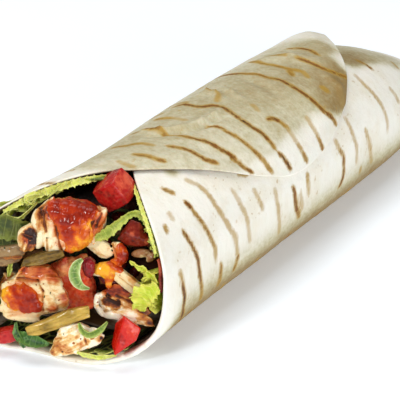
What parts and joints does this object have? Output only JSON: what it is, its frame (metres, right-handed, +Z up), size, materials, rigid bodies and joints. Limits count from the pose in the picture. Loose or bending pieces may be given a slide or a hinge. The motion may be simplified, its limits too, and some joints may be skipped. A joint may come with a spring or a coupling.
{
  "type": "chicken roll",
  "caption": "Grilled flour tortilla rolled round chicken, tomato, lettuce and peppers, open at one end and tucked at the other.",
  "frame": {"origin": "centre of the base of the whole part's box, on the surface it rests on", "axes": "+Y along the roll toward the tucked tail, -Y toward the open mouth, +X the side the flap comes down on, +Z up"},
  "size_m": [0.0684, 0.2374, 0.057],
  "materials": {
    "tortilla": "matte baked flour sheet with brown grill marks",
    "mixed_filling": "moist mixed filling",
    "chicken": "moist cooked meat, browned at the edges",
    "sauced_chicken": "cooked meat under glossy sauce",
    "tomato": "wet cut tomato",
    "tomato_flesh": "wet tomato flesh",
    "lettuce": "crisp leaf, slight sheen",
    "dark_lettuce": "dark leaf, slight sheen",
    "pickled_pepper": "moist pickled strip",
    "spring_onion": "moist onion green"
  },
  "bodies": {
    "root": {"tortilla": "tortilla", "filling_core": "mixed_filling", "lettuce_upper": "lettuce", "lettuce_far": "lettuce", "lettuce_base": "lettuce", "lettuce_frill": "lettuce", "lettuce_rim": "lettuce", "lettuce_arch": "lettuce", "lettuce_fold": "dark_lettuce", "lettuce_dark": "dark_lettuce", "onion_bow": "spring_onion", "onion_curl": "spring_onion", "pepper_long": "pickled_pepper", "pepper_short": "pickled_pepper", "chicken_seasoned": "chicken", "chicken_large": "chicken", "chicken_sauced": "sauced_chicken", "chicken_strip": "sauced_chicken", "chicken_nugget": "chicken", "chicken_curl": "chicken", "chicken_shred": "chicken", "chicken_plank": "chicken", "chicken_far": "chicken", "tomato_wedge": "tomato", "tomato_cube": "tomato", "tomato_corner": "tomato", "tomato_slice": "tomato_flesh", "tomato_dark": "tomato", "tomato_bit": "tomato", "tomato_rind": "tomato"}
  },
  "joints": []
}
